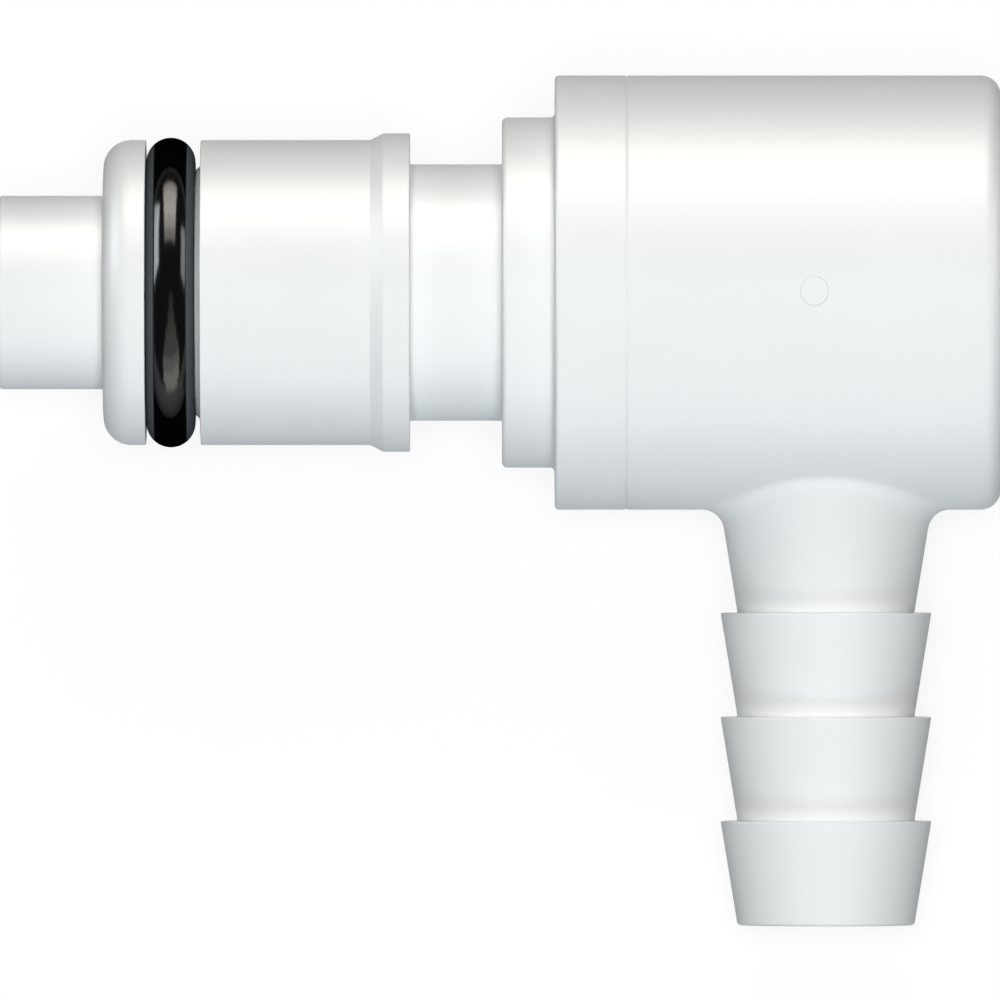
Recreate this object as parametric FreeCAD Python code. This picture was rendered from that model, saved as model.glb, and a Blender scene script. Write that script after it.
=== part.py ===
"""Male elbow quick coupling with a spring-loaded shut-off valve and a three-ridge hose barb.

Millimetres. The pieces are drawn in a drawing frame: the insert's axis runs along X from the
nose's front face at x = 0 to the closed back, and the hose barb points down along -Z from it.
At the end every piece is rolled about X and moved together, to the way the loose coupling lies on
a table: on its housing's side and the rim of the barb's tip, with its nose towards -X. The
origin is then on the table, below the centre of the whole coupling.
"""
import FreeCAD, Part

import math
import os

from FreeCAD import Vector

AXIS_X = Vector(1, 0, 0)
BARB_AXIS = Vector(0, 0, -1)

# Insert, from the nose's front face backwards. Lengths run along the axis.
nose_radius = 3.50
nose_length = 3.77
nose_edge_round = 0.12
collar_length = 1.54
collar_round = 1.00
land_radius = 5.52
land_length = 6.14
ramp_length = 0.46
rim_radius = 5.765
rim_length = 0.97
latch_groove_radius = 4.64
latch_groove_width = 3.33
flange_length = 1.91
flange_edge_round = 0.20
flange_root_round = 0.18
fine_edge_round = 0.05

# Outer seal: a nitrile ring of 7.65 mm bore and 1.78 mm section, in a groove behind the collar.
outer_ring_bore_radius = 3.825
outer_ring_section = 1.78
ring_side_play = 0.02
ring_seat_play = 0.01
groove_step_length = 0.18
groove_step_radius = 4.42
groove_step_chamfer = 0.20

# Housing: the insert's welded collar and the elbow behind it share one outer size, a shoulder
# larger than the flange.
housing_radius = 7.86
housing_shoulder = 1.52
welded_collar_length = 2.59
elbow_length = 13.55
housing_front_round = 0.15
housing_back_round = 0.72
seam_groove_depth = 0.05
back_wall = 1.80
chamber_corner_round = 0.50

# The spigot behind the welded collar centres the insert in the elbow's mouth.
spigot_length = 1.21
spigot_wall = 0.97
spigot_play = 0.03
spigot_chamfer = 0.20

# Flow bore through the insert, drafted for its core pin, and the valve seat behind it.
bore_mouth_radius = 2.45
bore_seat_radius = 2.95
bore_mouth_chamfer = 0.20
seat_setback = 2.09
seat_angle = math.radians(45)

# Hose barb.
barb_setback = 7.23
barb_root_length = 3.73
ridge_pitch = 3.77
ridge_count = 3
ridge_radius = 3.815
ridge_height = 0.615
barb_wall = 0.90
barb_tip_round = 0.15
barb_root_round = 0.80
root_edge_samples = 6

# Valve poppet: four guide fins in the bore, a head with its own ring, and a tail.
stem_recess = 0.55
fin_thickness = 0.90
fin_play = 0.12
stem_end_chamfer = 0.25
poppet_ring_bore_radius = 2.64
poppet_ring_section = 1.78
seat_gap = 0.03
lip_play = 0.30
lip_length = 1.10
flange_plate_radius = 4.10
flow_gap = 1.10
flange_plate_length = 0.90
spring_shoulder_length = 0.80
tail_radius = 1.55
tail_play = 0.15
tail_chamfer = 0.30
valve_travel = 2.80
tail_end_gap = 0.20

# Spring guide: a slotted tube on the inside of the back wall.
guide_wall = 0.70
guide_length = 4.90
guide_slot_width = 0.80
guide_root_round = 0.30

# Valve spring, closed and ground at both ends.
spring_wire_radius = 0.30
spring_play = 0.25
spring_turns = 7
spring_closed_turns = 1.0
spring_coil_gap = 0.03
spring_end_gap = 0.02
spring_points_per_turn = 16

# Stations along the axis.
collar_start = nose_length
collar_end = collar_start + collar_length
groove_step_start = collar_end + outer_ring_section + ring_side_play
groove_end = groove_step_start + groove_step_length
land_end = groove_end + land_length
rim_start = land_end + ramp_length
rim_end = rim_start + rim_length
flange_start = rim_end + latch_groove_width
welded_collar_start = flange_start + flange_length
seam = welded_collar_start + welded_collar_length
spigot_end = seam + spigot_length
back_face = seam + elbow_length
back_wall_face = back_face - back_wall
barb_station = seam + barb_setback
seat_start = seam - seat_setback

# Radii that follow from the walls and clearances. The chamber grows outwards from the poppet.
flange_radius = housing_radius - housing_shoulder
spigot_bore_radius = flange_plate_radius + flow_gap
spigot_radius = spigot_bore_radius + spigot_wall
chamber_radius = spigot_radius + spigot_play
groove_floor_radius = outer_ring_bore_radius - ring_seat_play
outer_ring_radius = outer_ring_bore_radius + outer_ring_section / 2
guide_bore_radius = tail_radius + tail_play
guide_radius = guide_bore_radius + guide_wall
spring_radius = guide_radius + spring_play + spring_wire_radius
spring_shoulder_radius = guide_radius

# The poppet's ring stops the seat gap short of the conical seat. Its groove follows it.
poppet_ring_radius = poppet_ring_bore_radius + poppet_ring_section / 2
poppet_ring_station = (
    seat_start
    + (poppet_ring_radius - bore_seat_radius) / math.tan(seat_angle)
    + (poppet_ring_section / 2 + seat_gap) / math.sin(seat_angle)
)
poppet_groove_start = poppet_ring_station - poppet_ring_section / 2 - ring_side_play
poppet_groove_end = poppet_ring_station + poppet_ring_section / 2 + ring_side_play
lip_start = poppet_groove_start - lip_length
flange_plate_end = poppet_groove_end + flange_plate_length
tail_end = back_wall_face - valve_travel - tail_end_gap

# The barb, measured from the insert's axis and from its own.
waist_radius = ridge_radius - ridge_height
barb_bore_radius = waist_radius - barb_wall
barb_slope = ridge_height / ridge_pitch
first_ridge_distance = housing_radius + barb_root_length
barb_tip_distance = first_ridge_distance + ridge_count * ridge_pitch


# Centre of the round on the barb's tip rim: distance from the insert's axis, and from the barb's.
rim_reach = barb_tip_distance - barb_tip_round
rim_offset = waist_radius + barb_tip_round * (barb_slope - math.hypot(1, barb_slope))


def rest_roll():
    """The droop of the barb, in radians, when the housing's side and the tip's rim lie on a table."""
    drop = housing_radius - barb_tip_round
    return math.asin(drop / math.hypot(rim_reach, rim_offset)) - math.atan2(rim_offset, rim_reach)


def rounded_profile(corners):
    """A closed wire in the XZ plane through (along, out, round) corners, each rounded by an arc."""
    points = [Vector(along, 0, out) for along, out, _ in corners]
    starts, ends, arcs = [], [], []
    for i, (_, _, radius) in enumerate(corners):
        here, before, after = points[i], points[i - 1], points[(i + 1) % len(points)]
        if radius == 0:
            starts.append(here)
            ends.append(here)
            arcs.append(None)
            continue
        back = (before - here).normalize()
        ahead = (after - here).normalize()
        half = back.getAngle(ahead) / 2
        reach = radius / math.tan(half)
        middle = (back + ahead).normalize()
        centre = here + middle * (radius / math.sin(half))
        starts.append(here + back * reach)
        ends.append(here + ahead * reach)
        arcs.append(centre - middle * radius)
    edges = []
    for i, crown in enumerate(arcs):
        if crown is not None:
            edges.append(Part.Arc(starts[i], crown, ends[i]).toShape())
        following = starts[(i + 1) % len(points)]
        if (following - ends[i]).Length > 1e-6:
            edges.append(Part.LineSegment(ends[i], following).toShape())
    return Part.Wire(edges)


def turned(corners):
    """A solid of revolution about the X axis from (along, out, round) corners."""
    return Part.Face(rounded_profile(corners)).revolve(Vector(0, 0, 0), AXIS_X, 360)


def turned_on_barb(corners):
    """The same about the barb's axis, where along is the distance from the insert's axis."""
    shape = turned(corners)
    shape.rotate(Vector(0, 0, 0), Vector(0, 1, 0), 90)
    shape.translate(Vector(barb_station, 0, 0))
    return shape


def ring(radius, section, station):
    return Part.makeTorus(radius, section / 2, Vector(station, 0, 0), AXIS_X)


def insert_body():
    """Nose, seal groove, sealing land, latch rim and groove, flange, welded collar and spigot."""
    step_top = groove_step_radius + groove_step_chamfer
    seat_end = seat_start + (spigot_bore_radius - bore_seat_radius) / math.tan(seat_angle)
    return turned([
        (0, bore_mouth_radius + bore_mouth_chamfer, 0),
        (0, nose_radius, nose_edge_round),
        (collar_start, nose_radius, fine_edge_round),
        (collar_start, land_radius, collar_round),
        (collar_end, land_radius, fine_edge_round),
        (collar_end, groove_floor_radius, fine_edge_round),
        (groove_step_start, groove_floor_radius, fine_edge_round),
        (groove_step_start, groove_step_radius, 0),
        (groove_end, step_top, 0),
        (groove_end, land_radius, fine_edge_round),
        (land_end, land_radius, 2 * fine_edge_round),
        (rim_start, rim_radius, 2 * fine_edge_round),
        (rim_end, rim_radius, fine_edge_round),
        (rim_end, latch_groove_radius, fine_edge_round),
        (flange_start, latch_groove_radius, fine_edge_round),
        (flange_start, flange_radius, flange_edge_round),
        (welded_collar_start, flange_radius, flange_root_round),
        (welded_collar_start, housing_radius, housing_front_round),
        (seam - seam_groove_depth, housing_radius, 0),
        (seam, housing_radius - seam_groove_depth, 0),
        (seam, spigot_radius, 0),
        (spigot_end - spigot_chamfer, spigot_radius, 0),
        (spigot_end, spigot_radius - spigot_chamfer, 0),
        (spigot_end, spigot_bore_radius, 0),
        (seat_end, spigot_bore_radius, 0),
        (seat_start, bore_seat_radius, fine_edge_round),
        (bore_mouth_chamfer, bore_mouth_radius, 0),
    ])


def barb_outline():
    """Corners of the barb from inside the housing to its tip: a tapered root, then the ridges."""
    buried = chamber_radius / 2
    corners = [
        (buried, 0, 0),
        (buried, waist_radius + barb_slope * (first_ridge_distance - buried), 0),
    ]
    for i in range(ridge_count):
        ridge = first_ridge_distance + i * ridge_pitch
        corners += [(ridge, waist_radius, 0), (ridge, ridge_radius, fine_edge_round)]
    corners += [(barb_tip_distance, waist_radius, barb_tip_round), (barb_tip_distance, 0, 0)]
    return corners


def is_barb_root(edge):
    """True for the edge where the barb's taper meets the housing's side."""
    widest = waist_radius + barb_slope * first_ridge_distance
    points = edge.discretize(root_edge_samples)
    on_side = all(abs(math.hypot(p.y, p.z) - housing_radius) < fine_edge_round for p in points)
    return on_side and all(math.hypot(p.x - barb_station, p.y) < widest for p in points)


def spring_guide():
    """A tube on the back wall that holds the spring and guides the tail, slotted to let fluid out."""
    buried = back_wall_face + back_wall / 2
    guide_start = back_wall_face - guide_length
    tube = turned([
        (guide_start, guide_bore_radius, 0),
        (guide_start, guide_radius, fine_edge_round),
        (back_wall_face, guide_radius, guide_root_round),
        (back_wall_face, guide_radius + 2 * guide_root_round, 0),
        (buried, guide_radius + 2 * guide_root_round, 0),
        (buried, guide_bore_radius, 0),
    ])
    slot = Part.makeBox(guide_length, 3 * guide_radius, guide_slot_width)
    slot.translate(Vector(guide_start, -1.5 * guide_radius, -guide_slot_width / 2))
    upright = slot.copy()
    upright.rotate(Vector(0, 0, 0), AXIS_X, 90)
    return tube.cut(slot).cut(upright)


def elbow_housing():
    """The closed cup behind the seam, with the hose barb and the spring guide moulded on it."""
    shell = turned([
        (seam, 0, 0),
        (seam, housing_radius - seam_groove_depth, 0),
        (seam + seam_groove_depth, housing_radius, 0),
        (back_face, housing_radius, housing_back_round),
        (back_face, 0, 0),
    ])
    outside = shell.fuse(turned_on_barb(barb_outline())).removeSplitter()
    root = [edge for edge in outside.Edges if is_barb_root(edge)]
    outside = outside.makeFillet(barb_root_round, root)
    chamber = turned([
        (seam, 0, 0),
        (seam, chamber_radius, 0),
        (back_wall_face, chamber_radius, chamber_corner_round),
        (back_wall_face, 0, 0),
    ])
    bore = Part.makeCylinder(barb_bore_radius, barb_tip_distance, Vector(barb_station, 0, 0), BARB_AXIS)
    return outside.cut(chamber).cut(bore).fuse(spring_guide()).removeSplitter()


def valve_poppet():
    """Cross-shaped stem in the bore, sealing head, spring shoulder and tail, moulded in one."""
    taper = (bore_seat_radius - bore_mouth_radius) / seat_start
    tip_radius = bore_mouth_radius + taper * stem_recess - fin_play
    root_radius = bore_mouth_radius + taper * lip_start - fin_play
    envelope = turned([
        (stem_recess, 0, 0),
        (stem_recess, tip_radius - stem_end_chamfer, 0),
        (stem_recess + stem_end_chamfer, tip_radius, 0),
        (lip_start, root_radius, 0),
        (lip_start, 0, 0),
    ])
    fin = Part.makeBox(lip_start, 2 * root_radius, fin_thickness)
    fin.translate(Vector(0, -root_radius, -fin_thickness / 2))
    upright = fin.copy()
    upright.rotate(Vector(0, 0, 0), AXIS_X, 90)
    stem = envelope.common(fin.fuse(upright))
    lip_radius = bore_seat_radius - lip_play
    lip_edge = lip_radius + (poppet_groove_start - seat_start) * math.tan(seat_angle)
    floor = poppet_ring_bore_radius - ring_seat_play
    head = turned([
        (lip_start, 0, 0),
        (lip_start, lip_radius, fine_edge_round),
        (seat_start, lip_radius, 0),
        (poppet_groove_start, lip_edge, 0),
        (poppet_groove_start, floor, 0),
        (poppet_groove_end, floor, 0),
        (poppet_groove_end, flange_plate_radius, fine_edge_round),
        (flange_plate_end, flange_plate_radius, fine_edge_round),
        (flange_plate_end, spring_shoulder_radius, 0),
        (flange_plate_end + spring_shoulder_length, spring_shoulder_radius, 2 * fine_edge_round),
        (flange_plate_end + spring_shoulder_length, tail_radius, 0),
        (tail_end, tail_radius, tail_chamfer),
        (tail_end, 0, 0),
    ])
    return head.fuse(stem).removeSplitter()


def spring_height(turn, free_height):
    """How far along the axis the wire is after a number of turns: flat, a smooth rise, flat."""
    closed_pitch = 2 * spring_wire_radius + spring_coil_gap
    rise_turns = spring_turns - 2 * spring_closed_turns
    extra = free_height - closed_pitch * spring_turns
    share = min(1.0, max(0.0, (turn - spring_closed_turns) / rise_turns))
    eased = share - math.sin(2 * math.pi * share) / (2 * math.pi)
    return closed_pitch * turn + extra * eased


def valve_spring():
    """Wire swept along a helix whose end turns lie closed, then ground flat at both ends."""
    start = flange_plate_end + spring_end_gap
    length = back_wall_face - spring_end_gap - start
    points = []
    for i in range(spring_turns * spring_points_per_turn + 1):
        turn = i / spring_points_per_turn
        angle = 2 * math.pi * turn
        along = start + spring_height(turn, length)
        points.append(Vector(along, spring_radius * math.cos(angle), spring_radius * math.sin(angle)))
    path = Part.BSplineCurve()
    path.interpolate(points)
    tangent = path.tangent(path.FirstParameter)[0]
    section = Part.Wire(Part.Circle(points[0], tangent, spring_wire_radius).toShape())
    wire = Part.Wire(path.toShape()).makePipeShell([section], True, True)
    reach = 2 * spring_radius
    ground = Part.makeCylinder(reach, length, Vector(start, 0, 0), AXIS_X)
    return wire.common(ground)


def lay_down(shape):
    """Rolls a piece about the insert's axis to its resting pose and puts the origin below its centre."""
    droop = rest_roll()
    reach = rim_reach * math.cos(droop) + rim_offset * math.sin(droop) + barb_tip_round
    shape.rotate(Vector(0, 0, 0), AXIS_X, math.degrees(droop) - 90)
    shape.translate(Vector(-back_face / 2, (reach - housing_radius) / 2, housing_radius))
    return shape


PIECES = {
    "insert_body": insert_body,
    "insert_o_ring": lambda: ring(
        outer_ring_radius, outer_ring_section, groove_step_start - ring_side_play / 2 - outer_ring_section / 2
    ),
    "elbow_housing": elbow_housing,
    "valve_poppet": valve_poppet,
    "poppet_o_ring": lambda: ring(poppet_ring_radius, poppet_ring_section, poppet_ring_station),
    "valve_spring": valve_spring,
}


def main():
    os.makedirs("parts", exist_ok=True)
    for name, build in PIECES.items():
        shape = lay_down(build().Solids[0])
        shape.exportStep(os.path.join("parts", name + ".step"))
        print(name, shape.isValid(), len(shape.Solids), "solid", round(shape.Volume, 3), "mm3")
    print("barb droops", round(math.degrees(rest_roll()), 3), "degrees")


main()
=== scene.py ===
# %% [markdown]
# # Elbow quick coupling
# The object is a male quick coupling in white acetal: a nose with a black O-ring, a latch groove,
# a closed housing with a shut-off valve in it, and a hose barb that leaves the housing at a right
# angle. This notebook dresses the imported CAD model. Every piece is made in the model's own frame,
# in metres, so nothing has to be fitted afterwards.

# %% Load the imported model
import bpy
import bmesh
import math
from mathutils import Matrix, Vector


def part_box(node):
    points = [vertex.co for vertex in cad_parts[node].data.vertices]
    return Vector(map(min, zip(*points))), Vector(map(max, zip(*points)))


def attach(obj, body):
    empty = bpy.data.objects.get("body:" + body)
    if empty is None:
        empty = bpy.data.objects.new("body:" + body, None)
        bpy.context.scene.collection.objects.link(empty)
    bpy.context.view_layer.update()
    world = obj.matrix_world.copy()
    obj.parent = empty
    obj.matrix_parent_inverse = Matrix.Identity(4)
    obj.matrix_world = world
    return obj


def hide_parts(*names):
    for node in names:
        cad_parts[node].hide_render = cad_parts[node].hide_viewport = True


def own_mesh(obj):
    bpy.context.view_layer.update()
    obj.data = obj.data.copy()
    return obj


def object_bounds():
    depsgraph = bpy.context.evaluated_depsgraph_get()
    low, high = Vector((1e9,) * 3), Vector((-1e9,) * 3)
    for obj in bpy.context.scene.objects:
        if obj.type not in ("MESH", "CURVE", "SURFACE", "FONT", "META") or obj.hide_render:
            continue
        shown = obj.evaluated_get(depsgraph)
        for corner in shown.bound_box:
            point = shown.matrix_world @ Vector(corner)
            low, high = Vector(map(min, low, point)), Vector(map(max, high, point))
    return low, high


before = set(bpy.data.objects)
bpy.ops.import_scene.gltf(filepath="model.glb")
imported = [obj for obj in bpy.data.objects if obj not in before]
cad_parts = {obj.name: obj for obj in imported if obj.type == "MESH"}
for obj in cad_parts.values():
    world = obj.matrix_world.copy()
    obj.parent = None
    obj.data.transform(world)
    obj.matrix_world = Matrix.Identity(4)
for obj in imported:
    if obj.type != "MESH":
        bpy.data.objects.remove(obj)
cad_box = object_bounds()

# %% [markdown]
# ## Sizes and the drawing frame
# The coupling was drawn with its insert along X and its barb pointing down, then rolled about X
# and laid on the table. The same two steps are kept here: sizes are in millimetres in the drawing
# frame, and one matrix takes a drawn shape to where the CAD model lies. The insert's axis is read
# from the O-ring's box, so only the roll has to be worked out from the barb's own sizes.

# %% Sizes in millimetres, and the matrix that lays a drawn shape down
MM = 0.001

# The insert and the housing: radii, and places along the axis from the nose to the closed back.
NOSE_R, NOSE_END = 3.50, 3.77
LAND_R, RIM_R, GROOVE_R = 5.52, 5.765, 4.64
FLANGE_R, HOUSING_R, CHAMBER_R = 6.34, 7.86, 6.20
COLLAR_END, STEP_START, GROOVE_END = 5.31, 7.11, 7.29
LAND_END, RIM_START, RIM_END = 13.43, 13.89, 14.86
FLANGE_START, WELDED_START, SEAM, BACK = 18.19, 20.10, 22.69, 36.24
BACK_WALL = BACK - 1.80
SEAT_START, SPIGOT_END = SEAM - 2.09, SEAM + 1.21

# The barb: where it leaves the insert's axis, and distances and radii along its own.
BARB_X, FIRST_RIDGE, PITCH, RIDGES = 29.92, 11.59, 3.77, 3
RIDGE_R, WAIST_R, BORE_R = 3.815, 3.20, 2.30
TIP = FIRST_RIDGE + RIDGES * PITCH
TAPER = (RIDGE_R - WAIST_R) / PITCH
SLANT = math.hypot(1, TAPER)
ROOT_ROUND, TIP_ROUND, BACK_ROUND = 0.80, 0.15, 0.72

# The housing's side and the rounded rim of the barb's tip both touch the table.
rim_reach = TIP - TIP_ROUND
rim_offset = WAIST_R + TIP_ROUND * (TAPER - SLANT)
rim_drop = HOUSING_R - TIP_ROUND
droop = math.asin(rim_drop / math.hypot(rim_reach, rim_offset)) - math.atan2(rim_offset, rim_reach)

ring_low, ring_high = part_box("insert_o_ring")
axis_start = (ring_low + ring_high) / 2
axis_start.x = (cad_box[0].x + cad_box[1].x) / 2 - BACK / 2 * MM
LAY_DOWN = (
    Matrix.Translation(axis_start)
    @ Matrix.Rotation(droop - math.pi / 2, 4, "X")
    @ Matrix.Diagonal((MM, MM, MM, 1))
)
print("barb droops", round(math.degrees(droop), 2), "degrees")
print("axis starts at", [round(c / MM, 3) for c in axis_start], "mm")

# %% [markdown]
# ## Colours and nodes
# Colours are written as sRGB hex, the way a paint chart gives them. Blender's shaders work in
# linear light, so one function converts them. A second small function adds a shader node, sets it
# up and wires it, which keeps each material readable from top to bottom. The others stand for what
# most finishes here are made of: a grain, a colour or a number that follows it, and a bump. The
# last gives a gloss that fades as a surface turns edge-on, because a finely grained skin scatters
# what it would mirror there.

# %% Colour conversion and node helpers
def srgb(code):
    """Linear RGBA from a hex colour such as #F0F0EE."""
    parts = [int(code[i:i + 2], 16) / 255 for i in (1, 3, 5)]
    linear = [c / 12.92 if c <= 0.04045 else ((c + 0.055) / 1.055) ** 2.4 for c in parts]
    return (*linear, 1.0)


def add_node(tree, kind, links=None, **settings):
    """Adds a node, sets its properties and input values, and links its inputs to given sockets."""
    node = tree.nodes.new(kind)
    for name, value in settings.items():
        if hasattr(node, name):
            setattr(node, name, value)
        else:
            node.inputs[name.replace("_", " ")].default_value = value
    for name, socket in (links or {}).items():
        tree.links.new(socket, node.inputs[name])
    return node


def new_material(name):
    """An empty node material, its tree, and the place on the piece as a socket."""
    material = bpy.data.materials.new(name)
    material.use_nodes = True
    tree = material.node_tree
    tree.nodes.clear()
    return material, tree, add_node(tree, "ShaderNodeTexCoord").outputs["Object"]


def noise(tree, place, scale, detail=2.0, roughness=0.5):
    """A grain from 0 to 1. Its widest features are 1 / scale metres across."""
    settings = {"Scale": scale, "Detail": detail, "Roughness": roughness}
    return add_node(tree, "ShaderNodeTexNoise", {"Vector": place}, **settings).outputs["Fac"]


def blend(tree, factor, first, last):
    """A colour that goes from one hex colour to another as the factor goes from 0 to 1."""
    ends = {"A": srgb(first), "B": srgb(last)}
    mix = add_node(tree, "ShaderNodeMix", {"Factor": factor}, data_type="RGBA", **ends)
    return mix.outputs["Result"]


def between(tree, factor, first, last, start=0.0, end=1.0):
    """A number that goes from first to last as the factor goes from start to end."""
    limits = {"From_Min": start, "From_Max": end, "To_Min": first, "To_Max": last}
    return add_node(tree, "ShaderNodeMapRange", {"Value": factor}, **limits).outputs["Result"]


def bumped(tree, grain, strength, depth):
    """Normals that follow a grain, whose full range is depth metres deep."""
    settings = {"Strength": strength, "Distance": depth}
    return add_node(tree, "ShaderNodeBump", {"Height": grain}, **settings).outputs["Normal"]


def fading_gloss(tree, start, end, least):
    """A specular level that falls from its usual 0.5 to a least one as a surface turns edge-on."""
    facing = add_node(tree, "ShaderNodeLayerWeight", Blend=0.5).outputs["Facing"]
    return between(tree, facing, 0.5, least, start, end)


print("white acetal in linear light", [round(c, 3) for c in srgb("#ECEEEC")[:3]])

# %% [markdown]
# ## White acetal, injection moulded
# Acetal is a dense, slightly waxy white plastic. Its moulded skin has a soft gloss: broad pale
# highlights with soft edges that die away towards the outline, and a very faint cloudiness from
# flow in the mould. The mould's fine polish leaves a texture of a few hundredths of a millimetre.
# The colour is a barely cool white.

# %% Acetal material
def moulded_acetal(name, darker, lighter):
    material, tree, place = new_material(name)
    # Flow clouds about 4 mm across, only a few levels lighter or darker.
    clouds = noise(tree, place, 250.0)
    # Mould polish: 0.1 mm grain with finer grain in it, coarser than real so that it shows.
    polish = noise(tree, place, 9000.0, roughness=0.6)
    shader = add_node(tree, "ShaderNodeBsdfPrincipled", {
        "Base Color": blend(tree, clouds, darker, lighter),
        "Roughness": between(tree, clouds, 0.40, 0.44),
        "Normal": bumped(tree, polish, 0.04, 0.00001),
        "Specular IOR Level": fading_gloss(tree, 0.50, 0.85, 0.15),
    }, IOR=1.47)
    add_node(tree, "ShaderNodeOutputMaterial", {"Surface": shader.outputs["BSDF"]})
    return material


acetal = moulded_acetal("moulded_white_acetal", "#E9ECEB", "#EEF0EF")
print("made", acetal.name)

# %% [markdown]
# ## Black nitrile rubber and stainless spring wire
# An O-ring is moulded nitrile: nearly black, with narrow highlights along its outer band that are
# gone where the ring turns edge-on. Its two flanks carry a painted reflection: a grey painted into
# their colour stands for the groove's white walls mirrored there, and a little node arithmetic
# places it by how far a point is from the ring's middle plane. The spring is drawn stainless wire.
# Drawing leaves fine lines along the wire, so its gloss is bright but slightly broken.

# %% Nitrile material
def maths(tree, operation, first, second=None):
    """The result of a maths node. Each of its inputs is a number or a socket to link."""
    node = add_node(tree, "ShaderNodeMath", operation=operation)
    for socket, value in zip(node.inputs, (first, second)):
        if hasattr(value, "is_output"):
            tree.links.new(value, socket)
        elif value is not None:
            socket.default_value = value
    return node.outputs[0]


def painted_reflection_on_flanks(tree, place, node):
    """0 on a ring's outer band and 1 on its flanks, which start at two thirds of its half width."""
    # This mask places a painted reflection: the flanks are painted grey where they would mirror the
    # groove's white walls.
    low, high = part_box(node)
    half = (high.x - low.x) / 2
    along = add_node(tree, "ShaderNodeSeparateXYZ", {"Vector": place}).outputs["X"]
    aside = maths(tree, "ABSOLUTE", maths(tree, "SUBTRACT", along, low.x + half))
    return between(tree, aside, 0.0, 1.0, 0.64 * half, 0.70 * half)


def moulded_nitrile(name, node):
    material, tree, place = new_material(name)
    # Rubber grain of about 0.07 mm, and patches of 1.4 mm that are a little duller.
    grain = noise(tree, place, 14000.0, detail=3.0, roughness=0.6)
    patches = noise(tree, place, 700.0)
    # The base colour holds a painted reflection: grey on the flanks over the rubber's own near
    # black.
    shader = add_node(tree, "ShaderNodeBsdfPrincipled", {
        "Base Color": blend(tree, painted_reflection_on_flanks(tree, place, node), "#050505", "#565C60"),
        "Roughness": between(tree, patches, 0.10, 0.15),
        "Normal": bumped(tree, grain, 0.10, 0.00002),
        "Specular IOR Level": fading_gloss(tree, 0.24, 0.42, 0.0),
    }, IOR=1.45)
    add_node(tree, "ShaderNodeOutputMaterial", {"Surface": shader.outputs["BSDF"]})
    return material


nose_nitrile = moulded_nitrile("nose_ring_nitrile", "insert_o_ring")
valve_nitrile = moulded_nitrile("valve_ring_nitrile", "poppet_o_ring")
print("made", nose_nitrile.name, "and", valve_nitrile.name)


# %% Spring wire material
def drawn_stainless(name):
    material, tree, place = new_material(name)
    # Drawing lines lie 0.03 mm apart along the insert's axis and run ten times as far across it,
    # so they follow the wire's turns.
    squeezed = add_node(
        tree, "ShaderNodeMapping", {"Vector": place}, Scale=(30000.0, 3000.0, 3000.0),
    )
    lines = noise(tree, squeezed.outputs["Vector"], 1.0)
    shader = add_node(tree, "ShaderNodeBsdfPrincipled", {
        "Roughness": between(tree, lines, 0.22, 0.38),
        "Normal": bumped(tree, lines, 0.15, 0.00001),
    }, Base_Color=srgb("#C9CACB"), Metallic=1.0)
    add_node(tree, "ShaderNodeOutputMaterial", {"Surface": shader.outputs["BSDF"]})
    return material


stainless = drawn_stainless("drawn_stainless_wire")
print("made", stainless.name)

# %% [markdown]
# ## A profile with rounded corners
# Most of the coupling was turned or moulded round one axis, so its shape is a profile. The helper
# takes corners as (along, out, round) and gives points: each round becomes a fan of short steps,
# and each straight run gets a point just inside both its ends. Those extra points keep the smooth
# shading of a round from spreading over the flat beside it.

# %% Rounded profile points
def arc_points(centre, first, last, steps):
    """Points round a centre, in equal turns from one arm to another of the same length."""
    sweep = first.angle(last)
    shares = [k / steps for k in range(steps + 1)]
    weights = [(math.sin(sweep * (1 - share)), math.sin(sweep * share)) for share in shares]
    return [centre + (first * a + last * b) / math.sin(sweep) for a, b in weights]


def rounded_points(corners, closed=True, steps=8, guard=0.02):
    """(along, out) points through corners, with arcs at the rounds and guard points by them."""
    points, count = [], len(corners)
    for i, (along, out, radius) in enumerate(corners):
        here = Vector((along, out))
        if not closed and i in (0, count - 1):
            points.append(here)
            continue
        before = Vector(corners[i - 1][:2])
        after = Vector(corners[(i + 1) % count][:2])
        back, ahead = (before - here).normalized(), (after - here).normalized()
        if radius == 0:
            near_back = min(guard, (before - here).length / 4)
            near_ahead = min(guard, (after - here).length / 4)
            points += [here + back * near_back, here, here + ahead * near_ahead]
            continue
        half = back.angle(ahead) / 2
        reach = radius / math.tan(half)
        centre = here + (back + ahead).normalized() * (radius / math.sin(half))
        first, last = here + back * reach - centre, here + ahead * reach - centre
        points.append(centre + first + back * guard)
        points += arc_points(centre, first, last, steps)
        points.append(centre + last + ahead * guard)
    return points


print("a square corner gives", len(rounded_points([(0, 0, 0.1), (1, 0, 0), (1, 1, 0)])), "points")

# %% [markdown]
# ## A lathe in Geometry Nodes
# Turning a profile follows one rule, so Geometry Nodes do it: a grid gets one row for each profile
# point and one column for each step round the axis. Each grid point looks up its profile point and
# is swung round by its column's angle. The seam and the poles are merged, and edges sharper than a
# set angle stay crisp while the rest shade smoothly. Three trees are built in this notebook. They
# share a beginning, which names their inputs, and an end, which makes instances real and sets the
# material.

# %% The beginning and end of every tree
def new_tree(name, sockets, result):
    """A tree with inputs from rows of (name, kind, default), and those inputs seen from inside."""
    tree = bpy.data.node_groups.new(name, "GeometryNodeTree")
    for label, kind, default in sockets:
        kind = "NodeSocket" + kind
        socket = tree.interface.new_socket(label, in_out="INPUT", socket_type=kind)
        if default is not None:
            socket.default_value = default
    tree.interface.new_socket(result, in_out="OUTPUT", socket_type="NodeSocketGeometry")
    return tree, tree.nodes.new("NodeGroupInput").outputs


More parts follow.
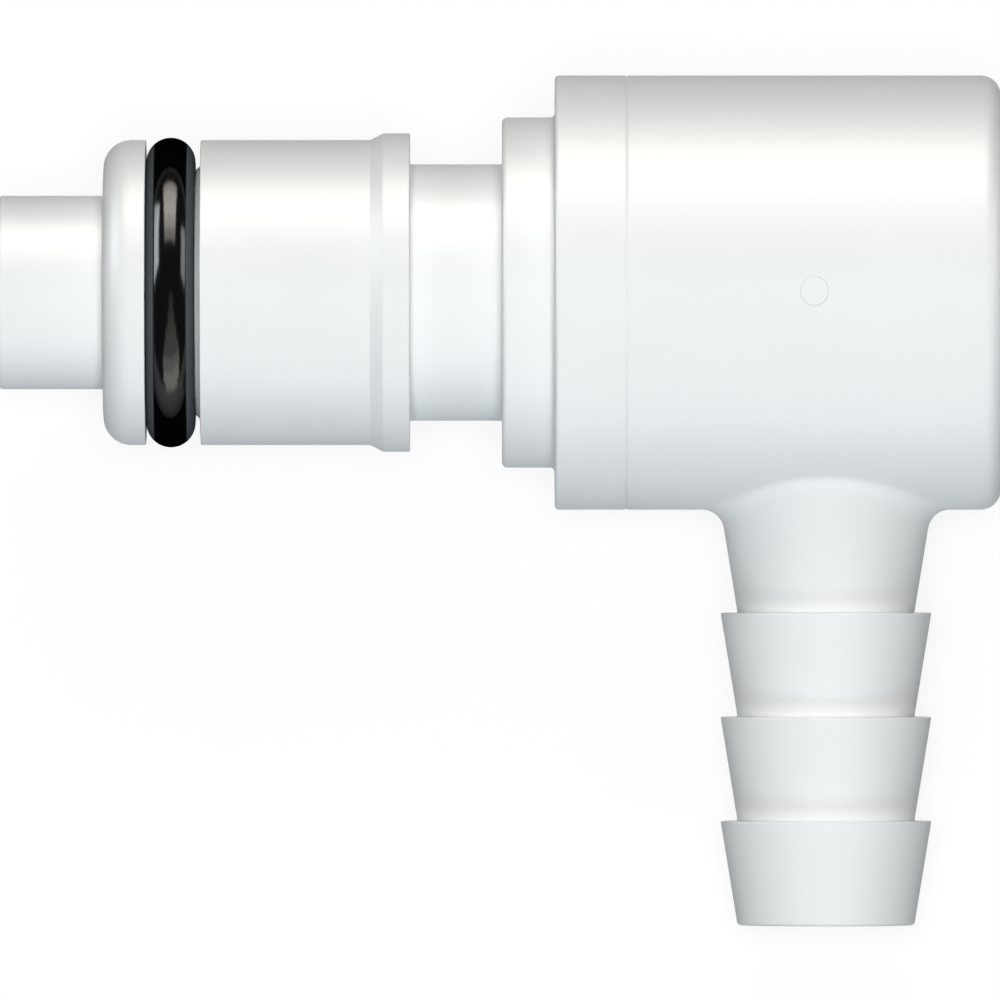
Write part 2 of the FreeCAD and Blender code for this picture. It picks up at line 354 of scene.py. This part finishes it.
def end_tree(tree, geometry, material, result):
    """Makes instances real, sets the material and hands the geometry out."""
    solid = add_node(tree, "GeometryNodeRealizeInstances", {"Geometry": geometry}).outputs[0]
    links = {"Geometry": solid, "Material": material}
    dressed = add_node(tree, "GeometryNodeSetMaterial", links).outputs[0]
    add_node(tree, "NodeGroupOutput", {result: dressed})


# %% The lathe tree
CRISP_ANGLE = math.radians(30)
FULL_TURN = 2 * math.pi


def lathe_tree():
    tree, given = new_tree("lathe", (
        ("Profile", "Geometry", None), ("Segments", "Int", 192), ("Closed", "Int", 1),
        ("Sharp Angle", "Float", CRISP_ANGLE), ("Material", "Material", None),
    ), "Turned")
    profile = {"Geometry": given["Profile"]}
    size = add_node(tree, "GeometryNodeAttributeDomainSize", profile).outputs["Point Count"]
    rows = maths(tree, "ADD", size, given["Closed"])
    columns = maths(tree, "ADD", given["Segments"], 1)
    grid = add_node(tree, "GeometryNodeMeshGrid", {"Vertices X": rows, "Vertices Y": columns})

    # A grid point's row picks its profile point, and its column gives its angle.
    index = tree.nodes.new("GeometryNodeInputIndex").outputs[0]
    row = maths(tree, "FLOOR", maths(tree, "DIVIDE", index, columns))
    row = maths(tree, "MODULO", row, size)
    column = maths(tree, "MODULO", index, columns)
    angle = maths(tree, "DIVIDE", maths(tree, "MULTIPLY", column, FULL_TURN), given["Segments"])
    where = tree.nodes.new("GeometryNodeInputPosition").outputs[0]
    links = {**profile, "Value": where, "Index": row}
    sample = add_node(tree, "GeometryNodeSampleIndex", links, data_type="FLOAT_VECTOR")
    split = add_node(tree, "ShaderNodeSeparateXYZ", {"Vector": sample.outputs["Value"]}).outputs
    swung = add_node(tree, "ShaderNodeCombineXYZ", {
        "X": split["X"],
        "Y": maths(tree, "MULTIPLY", split["Y"], maths(tree, "SINE", angle)),
        "Z": maths(tree, "MULTIPLY", split["Y"], maths(tree, "COSINE", angle)),
    })
    links = {"Geometry": grid.outputs["Mesh"], "Position": swung.outputs[0]}
    placed = add_node(tree, "GeometryNodeSetPosition", links).outputs[0]
    links = {"Geometry": placed}
    merged = add_node(tree, "GeometryNodeMergeByDistance", links, Distance=0.0005).outputs[0]

    # Faces shade smoothly, and edges that bend more than the sharp angle stay crisp.
    links = {"Geometry": merged}
    smooth = add_node(tree, "GeometryNodeSetShadeSmooth", links, domain="FACE").outputs[0]
    bend = tree.nodes.new("GeometryNodeInputMeshEdgeAngle").outputs["Unsigned Angle"]
    links = {"A": bend, "B": given["Sharp Angle"]}
    sharp = add_node(tree, "FunctionNodeCompare", links, operation="GREATER_THAN").outputs[0]
    crisp = add_node(
        tree, "GeometryNodeSetShadeSmooth", {"Geometry": smooth, "Selection": sharp},
        domain="EDGE", Shade_Smooth=False,
    )
    end_tree(tree, crisp.outputs[0], given["Material"], "Turned")
    return tree


LATHE = lathe_tree()
print("lathe tree has", len(LATHE.nodes), "nodes")


# %% From a node tree to a finished piece
def grown(mesh, tree, values):
    """The plain mesh that a tree makes of a start mesh, with its inputs set by identifier."""
    start = bpy.data.objects.new("start", mesh)
    bpy.context.scene.collection.objects.link(start)
    modifier = start.modifiers.new("grow", "NODES")
    modifier.node_group = tree
    for item in tree.interface.items_tree:
        if item.in_out == "INPUT" and item.name in values:
            modifier[item.identifier] = values[item.name]
    bpy.context.view_layer.update()
    evaluated = start.evaluated_get(bpy.context.evaluated_depsgraph_get())
    result = bpy.data.meshes.new_from_object(evaluated)
    bpy.data.objects.remove(start)
    return result


def turned_mesh(points, material, closed=1, segments=192):
    """A profile of (along, out) points turned round the X axis."""
    outline = bpy.data.meshes.new("outline")
    count = len(points)
    edges = [(i, (i + 1) % count) for i in range(count if closed else count - 1)]
    outline.from_pydata([(p[0], p[1], 0.0) for p in points], edges, [])
    return grown(outline, LATHE, {"Segments": segments, "Closed": closed, "Material": material})


def finished(name, mesh, matrix, body, replaces=None):
    """Puts a mesh in the model's frame, turns its faces outwards and hands it to a body."""
    mesh.transform(matrix)
    shell = bmesh.new()
    shell.from_mesh(mesh)
    bmesh.ops.recalc_face_normals(shell, faces=shell.faces)
    open_edges = sum(not edge.is_manifold for edge in shell.edges)
    shell.to_mesh(mesh)
    shell.free()
    mesh.name = name
    piece = bpy.data.objects.new(name, mesh)
    bpy.context.scene.collection.objects.link(piece)
    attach(piece, body)
    if replaces:
        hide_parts(replaces)
    print(name, len(mesh.polygons), "faces,", open_edges, "open edges")
    return piece


# %% [markdown]
# ## The insert
# One moulding carries, from the front, the nose tube, the collar, the O-ring's groove, the sealing
# land, the ramp and rim that the latch rides over, the latch groove, the flange and the welded
# collar. Its bore ends in a conical valve seat. All of it is round, so it is one profile.

# %% Insert profile, turned
MOUTH_BEVEL, MOUTH_R = 0.20, 2.45
SEAT_SMALL_R, SEAT_LARGE_R = 2.95, 5.20
SEAL_GROOVE_R, STEP_FRONT_R, STEP_BACK_R = 3.815, 4.42, 4.62
SPIGOT_R, SPIGOT_BEVEL, SEAM_BEVEL = CHAMBER_R - 0.03, 0.20, 0.05

insert_corners = [
    (0, MOUTH_R + MOUTH_BEVEL, 0), (0, NOSE_R, 0.12), (NOSE_END, NOSE_R, 0.05),
    (NOSE_END, LAND_R, 1.0), (COLLAR_END, LAND_R, 0.05), (COLLAR_END, SEAL_GROOVE_R, 0.05),
    (STEP_START, SEAL_GROOVE_R, 0.05), (STEP_START, STEP_FRONT_R, 0), (GROOVE_END, STEP_BACK_R, 0),
    (GROOVE_END, LAND_R, 0.05), (LAND_END, LAND_R, 0.10), (RIM_START, RIM_R, 0.10),
    (RIM_END, RIM_R, 0.05), (RIM_END, GROOVE_R, 0.05), (FLANGE_START, GROOVE_R, 0.05),
    (FLANGE_START, FLANGE_R, 0.20), (WELDED_START, FLANGE_R, 0.18), (WELDED_START, HOUSING_R, 0.15),
    (SEAM - SEAM_BEVEL, HOUSING_R, 0), (SEAM, HOUSING_R - SEAM_BEVEL, 0), (SEAM, SPIGOT_R, 0),
    (SPIGOT_END - SPIGOT_BEVEL, SPIGOT_R, 0), (SPIGOT_END, SPIGOT_R - SPIGOT_BEVEL, 0),
    (SPIGOT_END, SEAT_LARGE_R, 0), (SEAT_START + SEAT_LARGE_R - SEAT_SMALL_R, SEAT_LARGE_R, 0),
    (SEAT_START, SEAT_SMALL_R, 0.05), (MOUTH_BEVEL, MOUTH_R, 0),
]
finished(
    "insert_moulding", turned_mesh(rounded_points(insert_corners), acetal), LAY_DOWN,
    "coupling", "insert_body",
)

# %% [markdown]
# ## The two O-rings
# An O-ring is a plain torus with a faint moulding flash round its outside, too thin to see here.
# The same lathe turns a circle of 0.89 mm radius. The outer ring is the black band behind the
# collar, and the inner one rides on the poppet.

# %% O-rings, turned from circles
SECTION_R, NOSE_RING_X, NOSE_RING_R, VALVE_RING_R = 0.89, 6.21, 4.715, 3.53


def ring_points(centre, radius, steps=48):
    """A circle of the rings' section, as (along, out) points."""
    turns = [FULL_TURN * k / steps for k in range(steps)]
    return [(centre + SECTION_R * math.cos(t), radius + SECTION_R * math.sin(t)) for t in turns]


finished(
    "nose_ring", turned_mesh(ring_points(NOSE_RING_X, NOSE_RING_R), nose_nitrile), LAY_DOWN,
    "coupling", "insert_o_ring",
)
inner_low, inner_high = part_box("poppet_o_ring")
inner_x = ((inner_low.x + inner_high.x) / 2 - axis_start.x) / MM
finished(
    "valve_ring", turned_mesh(ring_points(inner_x, VALVE_RING_R), valve_nitrile), LAY_DOWN,
    "poppet", "poppet_o_ring",
)

# %% [markdown]
# ## The housing with its barb
# The cup and the barb are one moulding, and they meet in a rounded root. A boolean would leave a
# ragged join there, so the mesh is worked out instead. A ball of the root's radius, rolled along
# the corner, touches the cup in one curve and the barb in another, and the arc between the two is
# the root's surface. A patch of quads then joins the curve on the cup to a straight-sided window in
# the cup's own grid, so that the whole skin is one closed mesh.

# %% The curve where the rolling ball touches cup and barb
QUARTER = 32
COLUMNS = 4 * QUARTER
WINDOW_ANGLE, WINDOW_MARGIN = math.pi / 4, 0.12
WINDOW_HALF = BACK - BACK_ROUND - WINDOW_MARGIN - BARB_X
CONE_AT_AXIS = WAIST_R + TAPER * FIRST_RIDGE
WIDE_GUARD = 0.03


def column_angle(j):
    """A column's angle round the barb. The first column leads to a corner of the window."""
    return FULL_TURN * j / COLUMNS - math.pi / 4


def on_barb(j, distance, radius):
    """The drawn point at a column, by its distance from the insert's axis and its radius."""
    t = column_angle(j)
    return Vector((BARB_X + radius * math.cos(t), radius * math.sin(t), -distance))


def ball_centre(j):
    """Centre of the ball that touches the cup's side and the barb's taper at one column."""
    t, radius = column_angle(j), CONE_AT_AXIS
    for _ in range(30):
        side = radius * math.sin(t)
        distance = math.sqrt((HOUSING_R + ROOT_ROUND) ** 2 - side * side)
        radius = CONE_AT_AXIS + ROOT_ROUND * SLANT - TAPER * distance
    return on_barb(j, distance, radius)


def root_arc(j, steps=12):
    """Points from the cup to the barb over the rounded root, at one column."""
    t, centre = column_angle(j), ball_centre(j)
    to_cup = -Vector((0, centre.y, centre.z)).normalized() * ROOT_ROUND
    to_barb = Vector((-math.cos(t), -math.sin(t), TAPER)) / SLANT * ROOT_ROUND
    arc = arc_points(centre, to_cup, to_barb, steps)
    below = -arc[-1].z + WIDE_GUARD
    return arc + [on_barb(j, below, CONE_AT_AXIS - TAPER * below)]


print("root meets the cup", round(abs(root_arc(0)[0].z), 2), "mm below the insert's axis")


# %% A drum with a window for the branch
def bridge(mesh, rings):
    """Quads between successive closed rings of equal length."""
    for first, second in zip(rings, rings[1:]):
        count = len(first)
        for j in range(count):
            mesh.faces.new((first[j], first[(j + 1) % count], second[(j + 1) % count], second[j]))


def drum_faces(mesh, radius, profile, window, contour):
    """Adds a drum turned round X, with a square window whose middle is joined to a contour.

    profile is a list of (along, out) from one end to the other. The window lies between its entry
    number window and the next. contour is a ring of COLUMNS mesh vertices on the drum's side."""
    rest = 3 * QUARTER
    angles = [-WINDOW_ANGLE + 2 * WINDOW_ANGLE * k / QUARTER for k in range(QUARTER + 1)]
    angles += [WINDOW_ANGLE + (FULL_TURN - 2 * WINDOW_ANGLE) * k / rest for k in range(1, rest)]

    def vertex(along, out, angle):
        return mesh.verts.new((along, out * math.sin(angle), -out * math.cos(angle)))

    rings = [[vertex(along, out, a) for a in angles] for along, out in profile]
    bridge(mesh, rings[:window + 1])
    bridge(mesh, rings[window + 1:])

    # Rows from one side of the window, round the back of the drum, to its other side.
    near, far = rings[window], rings[window + 1]
    low, high = profile[window][0], profile[window + 1][0]
    rows = [near[QUARTER:] + near[:1]]
    for k in range(1, QUARTER):
        along = low + (high - low) * k / QUARTER
        rows.append([vertex(along, radius, a) for a in angles[QUARTER:] + angles[:1]])
    rows.append(far[QUARTER:] + far[:1])
    for first, second in zip(rows, rows[1:]):
        for k in range(len(first) - 1):
            mesh.faces.new((first[k], first[k + 1], second[k + 1], second[k]))

    # The window's rim, in the order of the barb's columns: far side, +Y side, near side, -Y side.
    rim = far[:QUARTER]
    rim += [rows[QUARTER - k][0] for k in range(QUARTER)]
    rim += [near[QUARTER - k] for k in range(QUARTER)]
    rim += [rows[k][-1] for k in range(QUARTER)]
    patch_rings = [contour]
    for share in (0.03, 0.12, 0.25, 0.42, 0.60, 0.80):
        patch_rings.append([])
        for inside, outside in zip(contour, rim):
            turns = [math.atan2(end.co.y, -end.co.z) for end in (inside, outside)]
            along = inside.co.x + (outside.co.x - inside.co.x) * share
            patch_rings[-1].append(vertex(along, radius, turns[0] + (turns[1] - turns[0]) * share))
    patch_rings.append(rim)
    bridge(mesh, patch_rings)
    return rings


# %% The skin: outside, barb, bore and chamber in one closed mesh
INNER_WINDOW_HALF, RIDGE_GUARD = 3.6, 0.02
BACK_FACE_R, WALL_FACE_R = 4.0, 2.0


def housing_mesh():
    mesh = bmesh.new()
    arcs = [root_arc(j) for j in range(COLUMNS)]
    root_rings = [[mesh.verts.new(arc[k]) for arc in arcs] for k in range(len(arcs[0]))]

    # Outside of the cup: seam groove, side with the window, rounded back edge, back face.
    side_start = SEAM + SEAM_BEVEL
    profile = [
        (SEAM, HOUSING_R - SEAM_BEVEL), (side_start, HOUSING_R),
        (side_start + WIDE_GUARD, HOUSING_R), (BARB_X - WINDOW_HALF, HOUSING_R),
    ]
    profile += rounded_points([
        (BARB_X + WINDOW_HALF, HOUSING_R, 0), (BACK, HOUSING_R, BACK_ROUND), (BACK, BACK_FACE_R, 0),
    ], closed=False, steps=12)
    outside = drum_faces(mesh, HOUSING_R, profile, 3, root_rings[0])
    mesh.faces.new(outside[-1])

    # Barb: taper, ridges and rounded tip, then back up the bore, whose end is made below.
    corners = []
    for i in range(RIDGES):
        ridge = FIRST_RIDGE + i * PITCH
        corners += [(ridge, WAIST_R, 0), (ridge, RIDGE_R, 0.05)]
    corners += [(TIP, WAIST_R, TIP_ROUND), (TIP, BORE_R, 0), (CHAMBER_R, BORE_R, 0)]
    barb = [(FIRST_RIDGE - RIDGE_GUARD, WAIST_R + TAPER * RIDGE_GUARD)]
    barb += rounded_points(corners, closed=False, steps=6)[:-1]
    barb_rings = [[mesh.verts.new(on_barb(j, *p)) for j in range(COLUMNS)] for p in barb]

    # The bore's end, where it meets the round chamber.
    barb_rings.append([])
    for j in range(COLUMNS):
        side = BORE_R * math.sin(column_angle(j))
        mouth = on_barb(j, math.sqrt(CHAMBER_R ** 2 - side ** 2), BORE_R)
        barb_rings[-1].append(mesh.verts.new(mouth))
    bridge(mesh, root_rings + barb_rings)

    # Chamber inside the cup, and the ring of face at the seam.
    profile = [(SEAM, CHAMBER_R), (BARB_X - INNER_WINDOW_HALF, CHAMBER_R)]
    profile += rounded_points([
        (BARB_X + INNER_WINDOW_HALF, CHAMBER_R, 0), (BACK_WALL, CHAMBER_R, 0.5),
        (BACK_WALL, WALL_FACE_R, 0),
    ], closed=False)
    inside = drum_faces(mesh, CHAMBER_R, profile, 1, barb_rings[-1])
    mesh.faces.new(inside[-1])
    bridge(mesh, [outside[0], inside[0]])
    return mesh


def crisp_mesh(name, shape):
    """A mesh from a worked-out shape: its faces shade smoothly and its sharper edges stay crisp."""
    for face in shape.faces:
        face.smooth = True
    for edge in shape.edges:
        edge.smooth = edge.calc_face_angle(0) <= CRISP_ANGLE
    mesh = bpy.data.meshes.new(name)
    shape.to_mesh(mesh)
    shape.free()
    return mesh


skin = housing_mesh()
bmesh.ops.recalc_face_normals(skin, faces=skin.faces)
housing = crisp_mesh("elbow_moulding", skin)
housing.materials.append(acetal)
finished("elbow_moulding", housing, LAY_DOWN, "coupling", "elbow_housing")

# %% [markdown]
# ## The spring guide
# Four posts stand in a ring on the inside of the back wall. Together they are a slotted tube: the
# spring sits round it and the poppet's tail slides in it, and the slots let the fluid out from
# behind the tail. One post is a short loft, because its slot faces are parallel and its foot flares
# into the wall. Geometry Nodes set it round the axis four times. The guide is seen up the barb.

# %% One guide post, and the tree that repeats it
POSTS = 4


def guide_post(steps=12, flare_steps=8):
    """One of the four posts, between two slots of the tube, as a closed mesh."""
    inner, outer, flare, half_slot, length, sunk = 1.70, 2.40, 0.30, 0.40, 4.90, 0.9
    start = BACK_WALL - length
    # Levels from the lightly rounded free end to the flared foot, which is sunk into the wall.
    levels = [(start, outer - 0.05), (start + 0.02, outer - 0.01), (start + 0.05, outer)]
    for k in range(flare_steps + 1):
        turn = math.pi / 2 * k / flare_steps
        along = BACK_WALL - flare + flare * math.sin(turn)
        levels.append((along, outer + flare - flare * math.cos(turn)))
    levels.append((BACK_WALL + sunk, outer + flare))
    post = bmesh.new()

    def arc(along, radius):
        edge = math.asin(half_slot / radius)
        turns = [edge + (math.pi / 2 - 2 * edge) * k / steps for k in range(steps + 1)]
        return [post.verts.new((along, radius * math.sin(t), radius * math.cos(t))) for t in turns]

    rings = [arc(along, radius) + arc(along, inner)[::-1] for along, radius in levels]
    bridge(post, rings)
    for end in (rings[0], rings[-1]):
        for k in range(steps):
            post.faces.new((end[k], end[k + 1], end[-2 - k], end[-1 - k]))
    return crisp_mesh("guide_post", post)


def around_axis_tree():
    tree, given = new_tree("around_axis", (
        ("Post", "Geometry", None), ("Count", "Int", POSTS), ("Material", "Material", None),
    ), "Ring")
    places = add_node(tree, "GeometryNodePoints", {"Count": given["Count"]})
    index = tree.nodes.new("GeometryNodeInputIndex").outputs[0]
    turn = maths(tree, "MULTIPLY", maths(tree, "DIVIDE", index, given["Count"]), FULL_TURN)
    euler = add_node(tree, "ShaderNodeCombineXYZ", {"X": turn})
    rotation = add_node(tree, "FunctionNodeEulerToRotation", {"Euler": euler.outputs[0]})
    placed = add_node(
        tree, "GeometryNodeInstanceOnPoints",
        {"Points": places.outputs[0], "Instance": given["Post"], "Rotation": rotation.outputs[0]},
    )
    end_tree(tree, placed.outputs[0], given["Material"], "Ring")
    return tree


posts = grown(guide_post(), around_axis_tree(), {"Count": POSTS, "Material": acetal})
finished("spring_guide", posts, LAY_DOWN, "coupling")

# %% [markdown]
# ## The gate witness
# Where the plastic entered the mould, the housing's side carries a small round pip, trimmed almost
# flush. It stands 0.05 mm proud and is turned like the other round pieces, then laid on the side.

# %% Gate witness on the housing's side
GATE_X = 29.41
pip_corners = [
    (-0.30, 0, 0), (0.02, 0, 0), (0.05, 0.16, 0.05), (0.05, 0.50, 0.03), (-0.05, 0.56, 0.04),
    (-0.30, 0.56, 0),
]
pip = turned_mesh(rounded_points(pip_corners, closed=False), acetal, closed=0, segments=48)
on_side = Matrix.Translation((GATE_X, -HOUSING_R, 0)) @ Matrix.Rotation(-math.pi / 2, 4, "Z")
finished("gate_witness", pip, LAY_DOWN @ on_side, "coupling")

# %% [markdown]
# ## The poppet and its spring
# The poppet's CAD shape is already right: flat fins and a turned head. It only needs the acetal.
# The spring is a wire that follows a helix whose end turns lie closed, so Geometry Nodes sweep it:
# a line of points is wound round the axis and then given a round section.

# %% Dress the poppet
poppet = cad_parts["valve_poppet"]
poppet.data.materials.clear()
poppet.data.materials.append(acetal)
print("poppet keeps", len(poppet.data.polygons), "CAD facets")

# %% The spring tree
WIRE_R, COIL_R = 0.3, 2.95


def spring_tree():
    tree, given = new_tree("wound_wire", (
        ("Start", "Geometry", None), ("Turns", "Float", 7.0), ("Closed Turns", "Float", 1.0),
        ("Length", "Float", 10.0), ("Wire Radius", "Float", WIRE_R),
        ("Coil Radius", "Float", COIL_R), ("Coil Gap", "Float", 0.03),
        ("Material", "Material", None),
    ), "Spring")
    line = add_node(tree, "GeometryNodeCurvePrimitiveLine").outputs["Curve"]
    points = add_node(tree, "GeometryNodeResampleCurve", {"Curve": line}, Count=560)
    share = tree.nodes.new("GeometryNodeSplineParameter").outputs["Factor"]
    turn = maths(tree, "MULTIPLY", share, given["Turns"])
    angle = maths(tree, "MULTIPLY", turn, FULL_TURN)

    # The end turns rise by the closed pitch. The turns between take up the rest, eased in and out.
    thickness = maths(tree, "MULTIPLY", given["Wire Radius"], 2.0)
    pitch = maths(tree, "ADD", thickness, given["Coil Gap"])
    both_ends = maths(tree, "MULTIPLY", given["Closed Turns"], 2.0)
    free = maths(tree, "SUBTRACT", given["Turns"], both_ends)
    risen = maths(tree, "DIVIDE", maths(tree, "SUBTRACT", turn, given["Closed Turns"]), free)
    risen = maths(tree, "MINIMUM", maths(tree, "MAXIMUM", risen, 0.0), 1.0)
    wave = maths(tree, "SINE", maths(tree, "MULTIPLY", risen, FULL_TURN))
    eased = maths(tree, "SUBTRACT", risen, maths(tree, "DIVIDE", wave, FULL_TURN))
    closed_length = maths(tree, "MULTIPLY", pitch, given["Turns"])
    spread = maths(tree, "SUBTRACT", given["Length"], closed_length)
    along = maths(
        tree, "ADD", maths(tree, "MULTIPLY", pitch, turn), maths(tree, "MULTIPLY", spread, eased),
    )
    wound = add_node(tree, "ShaderNodeCombineXYZ", {
        "X": along,
        "Y": maths(tree, "MULTIPLY", maths(tree, "SINE", angle), given["Coil Radius"]),
        "Z": maths(tree, "MULTIPLY", maths(tree, "COSINE", angle), given["Coil Radius"]),
    })

    # The wire's round section is swept along the wound path.
    links = {"Geometry": points.outputs["Curve"], "Position": wound.outputs[0]}
    path = add_node(tree, "GeometryNodeSetPosition", links).outputs[0]
    links = {"Radius": given["Wire Radius"]}
    section = add_node(tree, "GeometryNodeCurvePrimitiveCircle", links, Resolution=20)
    links = {"Curve": path, "Profile Curve": section.outputs["Curve"]}
    swept = add_node(tree, "GeometryNodeCurveToMesh", links, Fill_Caps=True).outputs[0]
    smooth = add_node(tree, "GeometryNodeSetShadeSmooth", {"Geometry": swept}, domain="FACE")
    end_tree(tree, smooth.outputs[0], given["Material"], "Spring")
    return tree


# %% The spring, wound to the length of the CAD spring
spring_low, spring_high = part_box("valve_spring")
spring_length = (spring_high.x - spring_low.x) / MM - 2 * WIRE_R
point = bpy.data.meshes.new("point")
point.from_pydata([(0, 0, 0)], [], [])
wire = grown(point, spring_tree(), {"Length": spring_length, "Material": stainless})
wire.transform(Matrix.Translation(((spring_low.x - axis_start.x) / MM + WIRE_R, 0, 0)))
spring = finished("wound_spring", wire, LAY_DOWN, "coupling", "valve_spring")
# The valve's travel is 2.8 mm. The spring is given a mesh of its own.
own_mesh(spring)
print("spring is", round(spring_length, 2), "mm between its end turns")

# %% [markdown]
# ## Camera and light
# The coupling is shown upright, so the camera looks down on it where it lies, square to the plane
# of the insert and the barb. A very long lens keeps the picture as flat as a drawing. The studio
# light is soft and of two kinds. Three fills light the surfaces from the camera's side, the far
# side and the near side, and no gloss mirrors them. The boxes and strips are the bright shapes that
# a gloss mirrors: a wide box high on the far side gives the long highlight on the round white
# parts, and two strips give the streaks on the black ring. They add no scattered light, so only the
# middle of that highlight reaches full white.

# %% Camera
towards = Vector((0, -math.sin(droop), math.cos(droop)))
upwards = Vector((0, math.cos(droop), math.sin(droop)))
to_right = Vector((1, 0, 0))

# The picture's middle lies below the insert's axis, and the picture is 36.2 mm wide.
MIDDLE, PICTURE_WIDTH = 7.51, 36.2
LENS, SENSOR = 1000.0, 36.0
target = LAY_DOWN @ Vector((BACK / 2, 0, -MIDDLE))
distance = PICTURE_WIDTH * MM * LENS / SENSOR
camera_data = bpy.data.cameras.new("camera")
camera_data.lens, camera_data.sensor_width = LENS, SENSOR
camera_data.clip_start, camera_data.clip_end = 0.01, 50.0
camera = bpy.data.objects.new("camera", camera_data)
turned = Matrix((to_right, upwards, towards)).transposed().to_4x4()
camera.matrix_world = Matrix.Translation(target + towards * distance) @ turned
bpy.context.scene.collection.objects.link(camera)
bpy.context.scene.camera = camera
print("camera is", round(distance, 3), "m away")


# %% Fills and boxes, placed by the camera's own directions
LAMP_DISTANCE = 0.5


def hang_lamp(name, way, along, wide, tall, power, colour, mirrored):
    """An area lamp that faces the coupling, with its tall side laid along a given direction."""
    lamp = bpy.data.lights.new(name, "AREA")
    lamp.shape, lamp.size, lamp.size_y, lamp.energy = "RECTANGLE", wide, tall, power
    lamp.color = srgb(colour)[:3]
    place = bpy.data.objects.new(name, lamp)
    place.visible_glossy, place.visible_diffuse = mirrored, not mirrored
    turned = Matrix((along.cross(way), along, way)).transposed().to_4x4()
    place.matrix_world = Matrix.Translation(target + way * LAMP_DISTANCE) @ turned
    bpy.context.scene.collection.objects.link(place)


def soft_box(name, tilt, turn, wide, tall, power, colour, mirrored=True):
    """A lamp by its tilt up from the camera's line and its turn to the right, both in degrees."""
    up, side = math.radians(tilt), math.radians(turn)
    level = towards * math.cos(up) + upwards * math.sin(up)
    way = level * math.cos(side) + to_right * math.sin(side)
    along = upwards * math.cos(up) - towards * math.sin(up)
    hang_lamp(name, way, along, wide, tall, power, colour, mirrored)


def side_strip(name, first, last, wide, power, colour):
    """A mirrored strip between two directions given as (right, up, towards)."""
    ends = [to_right * v[0] + upwards * v[1] + towards * v[2] for v in (first, last)]
    way = (ends[0] + ends[1]).normalized()
    span = ends[1] - ends[0]
    span -= way * span.dot(way)
    hang_lamp(name, way, span.normalized(), wide, LAMP_DISTANCE * span.length, power, colour, True)


# %% The lamps
soft_box("front_fill", 0, 0, 0.15, 0.15, 1.81, "#FEFEFF", mirrored=False)
soft_box("far_fill", 60, 0, 0.30, 0.15, 0.66, "#FFFAF6", mirrored=False)
soft_box("near_fill", -60, 0, 0.30, 0.15, 0.61, "#DEEFFF", mirrored=False)
# The far box is five boxes edge to edge, brightest in the middle, so that its ends are soft.
for tilt, power in ((45, 0.47), (55, 0.80), (65, 1.05), (75, 0.88), (85, 0.70)):
    soft_box(f"far_box_{tilt}", tilt, 0, 0.42, 0.09, power, "#FFF7EF")
# The near boxes are dimmer and form a leaf, wide in the middle. The table cuts off the lowest.
near_leaf = (
    (8, 0.16, 0.030), (20, 0.26, 0.07), (32, 0.44, 0.16), (44, 0.60, 0.23), (56, 0.68, 0.50),
    (68, 0.58, 0.62), (80, 0.40, 0.36),
)
for tilt, wide, power in near_leaf:
    soft_box(f"near_box_{tilt}", -tilt, 6, wide, 0.105, power, "#FFFBF3")
side_strip("left_strip", (-0.72, 0.69, -0.05), (-0.89, 0.17, 0.42), 0.26, 2.90, "#F5FBFF")
side_strip("right_strip", (0.81, 0.57, 0.16), (0.90, 0.12, 0.43), 0.20, 0.76, "#FCFFFE")

# %% [markdown]
# ## Table and surround
# The table is pale paper, three metres wide, so it fills the picture. Its tone is a middle grey
# under the lamps, and what the camera, a gloss or a clear material sees of it adds a glow of its
# own. The background is then white without more light on the coupling, and the soft shadow still
# shows. The world behind is a dim, even grey that fills the deepest hollows.

# %% World
world = bpy.data.worlds.new("white_surround")
bpy.context.scene.world = world
world.use_nodes = True
world.node_tree.nodes.clear()
ambient = add_node(
    world.node_tree, "ShaderNodeBackground", Strength=0.10, Color=srgb("#F8FAFA"),
)
add_node(world.node_tree, "ShaderNodeOutputWorld", {"Surface": ambient.outputs[0]})
print("surround strength", round(ambient.inputs["Strength"].default_value, 2))


# %% Table
def seen_directly(tree):
    """1 for what the camera, a gloss or a clear material sees, 0 for light that is scattered."""
    path = tree.nodes.new("ShaderNodeLightPath").outputs
    first = maths(tree, "MAXIMUM", path["Is Camera Ray"], path["Is Glossy Ray"])
    return maths(tree, "MAXIMUM", first, path["Is Transmission Ray"])


TABLE_WIDTH = 3.0
paper, tree, place = new_material("pale_paper")
fibre = noise(tree, place, 1500.0, detail=3.0)
tone = blend(tree, fibre, "#6A6A6A", "#6E6E6E")
surface = add_node(tree, "ShaderNodeBsdfDiffuse", {"Color": tone}).outputs[0]
glow = add_node(tree, "ShaderNodeEmission", Strength=0.86).outputs[0]
both = add_node(tree, "ShaderNodeAddShader", {0: surface, 1: glow}).outputs[0]
shown = add_node(tree, "ShaderNodeMixShader", {0: seen_directly(tree), 1: surface, 2: both})
add_node(tree, "ShaderNodeOutputMaterial", {"Surface": shown.outputs[0]})

sheet = bmesh.new()
bmesh.ops.create_grid(sheet, x_segments=1, y_segments=1, size=TABLE_WIDTH / 2)
table_data = bpy.data.meshes.new("table")
sheet.to_mesh(table_data)
sheet.free()
table_data.materials.append(paper)
table = bpy.data.objects.new("table", table_data)
bpy.context.scene.collection.objects.link(table)
bpy.context.scene.view_settings.view_transform = "Standard"
print("table is at height 0, under the housing's side and the barb's tip")
